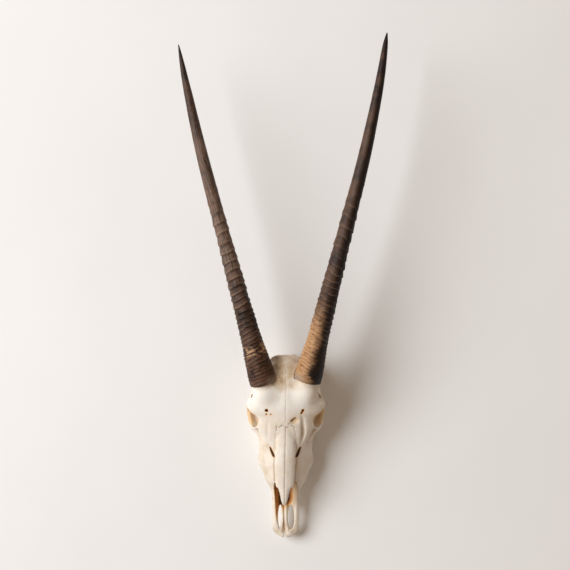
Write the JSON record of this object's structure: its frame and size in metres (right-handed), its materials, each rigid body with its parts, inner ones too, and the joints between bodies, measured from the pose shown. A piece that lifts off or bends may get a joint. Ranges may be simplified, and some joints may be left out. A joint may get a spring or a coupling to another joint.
{
  "type": "gemsbok skull with horns",
  "caption": "Antelope skull without its lower jaw, with a pair of long, slender, nearly straight ringed horns spread in a V, lying on its upper cheek teeth.",
  "frame": {"origin": "centre of the footprint on the surface that the skull lies on", "axes": "+Z is the top of the head, +Y runs from the nose to the horn tips, +X is the animal's left"},
  "size_m": [0.423, 1.043, 0.1896],
  "materials": {
    "bone": "dry, cleaned, ivory bone with tan stains",
    "dark_horn": "dull dark brown keratin, ringed, with fine lengthwise grain",
    "tooth": "worn enamel with brown stains in the folds"
  },
  "bodies": {
    "root": {"skull": "bone", "left_horn_sheath": "dark_horn", "right_horn_sheath": "dark_horn", "premolar_2_left": "tooth", "premolar_3_left": "tooth", "premolar_4_left": "tooth", "molar_1_left": "tooth", "molar_2_left": "tooth", "molar_3_left": "tooth", "premolar_2_right": "tooth", "premolar_3_right": "tooth", "premolar_4_right": "tooth", "molar_1_right": "tooth", "molar_2_right": "tooth", "molar_3_right": "tooth"}
  },
  "joints": []
}
